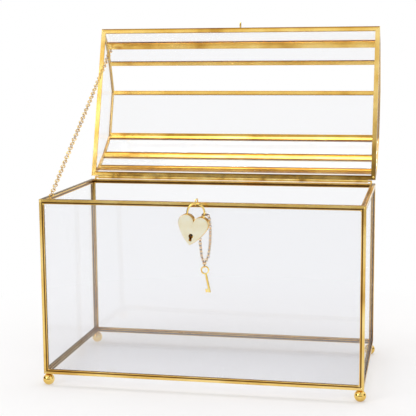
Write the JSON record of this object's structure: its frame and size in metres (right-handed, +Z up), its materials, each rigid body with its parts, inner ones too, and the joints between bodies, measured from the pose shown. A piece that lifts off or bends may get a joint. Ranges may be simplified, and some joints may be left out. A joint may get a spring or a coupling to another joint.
{
  "type": "glass card box",
  "caption": "Clear glass card box in brass channel: case on ball feet, faceted barrel lid on a rear hinge with an open card slot, stay chain, staple and heart padlock with its key on a chain.",
  "frame": {"origin": "middle of the width and of the depth of the open box, on the plane that the ball feet stand on; the middle of the case lies 37.5 mm in front of it", "axes": "+Z up, -Y towards the front with the staple and padlock, +X to the right of someone facing the front"},
  "size_m": [0.314, 0.2688, 0.3529],
  "materials": {
    "polished_brass": "polished",
    "pale_brass": "satin",
    "steel": "satin",
    "glass": "polished"
  },
  "bodies": {
    "case": {"front_glass": "glass", "back_glass": "glass", "left_glass": "glass", "right_glass": "glass", "floor_glass": "glass", "post_front_left": "polished_brass", "post_front_right": "polished_brass", "post_back_left": "polished_brass", "post_back_right": "polished_brass", "top_rail_front": "polished_brass", "top_rail_back": "polished_brass", "top_rail_left": "polished_brass", "top_rail_right": "polished_brass", "bottom_rail_front": "polished_brass", "bottom_rail_back": "polished_brass", "bottom_rail_left": "polished_brass", "bottom_rail_right": "polished_brass", "ball_feet": "polished_brass", "hasp_staple": "polished_brass", "case_chain_eye": "polished_brass", "hinge_pin": "polished_brass", "stay_chain": "polished_brass"},
    "lid": {"lid_rail_front": "polished_brass", "lid_rail_back": "polished_brass", "lid_rail_left": "polished_brass", "lid_rail_right": "polished_brass", "lid_arch_left": "polished_brass", "lid_arch_right": "polished_brass", "lid_rib_1": "polished_brass", "lid_rib_2": "polished_brass", "lid_rib_3": "polished_brass", "lid_rib_4": "polished_brass", "lid_rib_5": "polished_brass", "lid_rib_6": "polished_brass", "lid_pane_front_low": "glass", "lid_pane_front_mid": "glass", "lid_pane_top": "glass", "lid_pane_back_high": "glass", "lid_pane_back_mid": "glass", "lid_pane_back_low": "glass", "lid_end_pane_left": "glass", "lid_end_pane_right": "glass", "lid_eyelet": "polished_brass", "hinge_tube": "polished_brass", "lid_chain_eye": "polished_brass"},
    "shackle": {"lock_bow": "polished_brass"},
    "padlock": {"lock_case": "polished_brass", "lock_front_plate": "pale_brass", "lock_rivet": "polished_brass", "key_post": "steel", "latch_spring": "steel"},
    "latch": {"lock_latch": "steel"},
    "key_strand": {"key_chain": "polished_brass"},
    "hanging_key": {"key": "pale_brass"}
  },
  "joints": [
    {"name": "lid_hinge", "type": "hinge", "parent": "case", "child": "lid", "pos_m": [0, 0.04752, 0.1853], "axis": [1, 0, 0], "range_deg": [0, 107.7], "deforming": ["stay_chain"]},
    {"name": "lock_swing", "type": "hinge", "parent": "case", "child": "shackle", "pos_m": [0, -0.12985, 0.1834], "axis": [-1, 0, 0], "range_deg": [0, 100]},
    {"name": "lock_open", "type": "hinge", "parent": "shackle", "child": "padlock", "pos_m": [-0.00953, -0.12985, 0.16804], "axis": [0, 1, 0], "range_deg": [0, 40]},
    {"name": "latch_slide", "type": "slide", "parent": "padlock", "child": "latch", "axis": [0.9826, 0, -0.1857], "range_m": [0, 0.0012], "stiffness_N_per_m": 100, "springref_m": 0.0012, "deforming": ["latch_spring"]},
    {"name": "key_chain_swing", "type": "hinge", "parent": "shackle", "child": "key_strand", "pos_m": [0.00769, -0.129, 0.17303], "axis": [0, 1, 0], "range_deg": [-15, 15]},
    {"name": "key_swing", "type": "hinge", "parent": "key_strand", "child": "hanging_key", "pos_m": [0.0064, -0.12375, 0.1226], "axis": [0, 1, 0], "range_deg": [-23, 47]}
  ]
}
